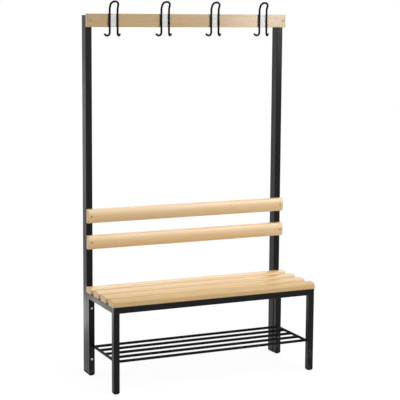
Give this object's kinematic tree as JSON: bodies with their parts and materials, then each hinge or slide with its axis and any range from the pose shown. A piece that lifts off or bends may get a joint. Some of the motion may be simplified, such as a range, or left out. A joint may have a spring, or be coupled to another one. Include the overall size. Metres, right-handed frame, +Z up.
{
  "type": "changing room bench",
  "caption": "Changing room bench with slatted wooden seat and backrest on a black steel tube frame, a hook rail with wire coat hooks above and a rod shoe rack below.",
  "frame": {"origin": "on the floor under the middle of the bench's outline", "axes": "+Z up, -Y towards the person who sits on it, +X to the right seen from the front"},
  "size_m": [1, 0.3982, 1.7114],
  "materials": {
    "beech": "clear satin lacquer",
    "black_powder_coat": "satin powder coat",
    "black_hook_coating": "smooth satin coating",
    "black_plastic": "moulded matt",
    "zinc_steel": "zinc plated"
  },
  "bodies": {
    "root": {"back_screw_1_left": "zinc_steel", "back_screw_1_right": "zinc_steel", "back_screw_2_left": "zinc_steel", "back_screw_2_right": "zinc_steel", "back_slat_1": "beech", "back_slat_2": "beech", "bench_bolt_left_lower": "zinc_steel", "bench_bolt_left_upper": "zinc_steel", "bench_bolt_right_lower": "zinc_steel", "bench_bolt_right_upper": "zinc_steel", "front_foot_left": "black_plastic", "front_foot_right": "black_plastic", "front_leg_left": "black_powder_coat", "front_leg_right": "black_powder_coat", "front_rail": "black_powder_coat", "hook_1": "black_hook_coating", "hook_2": "black_hook_coating", "hook_3": "black_hook_coating", "hook_4": "black_hook_coating", "hook_plate_1": "zinc_steel", "hook_plate_2": "zinc_steel", "hook_plate_3": "zinc_steel", "hook_plate_4": "zinc_steel", "hook_rail": "beech", "hook_screw_1_lower": "zinc_steel", "hook_screw_1_upper": "zinc_steel", "hook_screw_2_lower": "zinc_steel", "hook_screw_2_upper": "zinc_steel", "hook_screw_3_lower": "zinc_steel", "hook_screw_3_upper": "zinc_steel", "hook_screw_4_lower": "zinc_steel", "hook_screw_4_upper": "zinc_steel", "rack_bar_left": "black_powder_coat", "rack_bar_right": "black_powder_coat", "rack_rod_1": "black_powder_coat", "rack_rod_2": "black_powder_coat", "rack_rod_3": "black_powder_coat", "rack_rod_4": "black_powder_coat", "rack_rod_5": "black_powder_coat", "rail_screw_left": "zinc_steel", "rail_screw_right": "zinc_steel", "rear_foot_left": "black_plastic", "rear_foot_right": "black_plastic", "rear_leg_left": "black_powder_coat", "rear_leg_right": "black_powder_coat", "rear_rail": "black_powder_coat", "seat_slat_1": "beech", "seat_slat_2": "beech", "seat_slat_3": "beech", "seat_slat_4": "beech", "side_rail_left": "black_powder_coat", "side_rail_right": "black_powder_coat", "upright_cap_left": "black_plastic", "upright_cap_right": "black_plastic", "upright_foot_left": "black_plastic", "upright_foot_right": "black_plastic", "upright_left": "black_powder_coat", "upright_right": "black_powder_coat"}
  },
  "joints": []
}
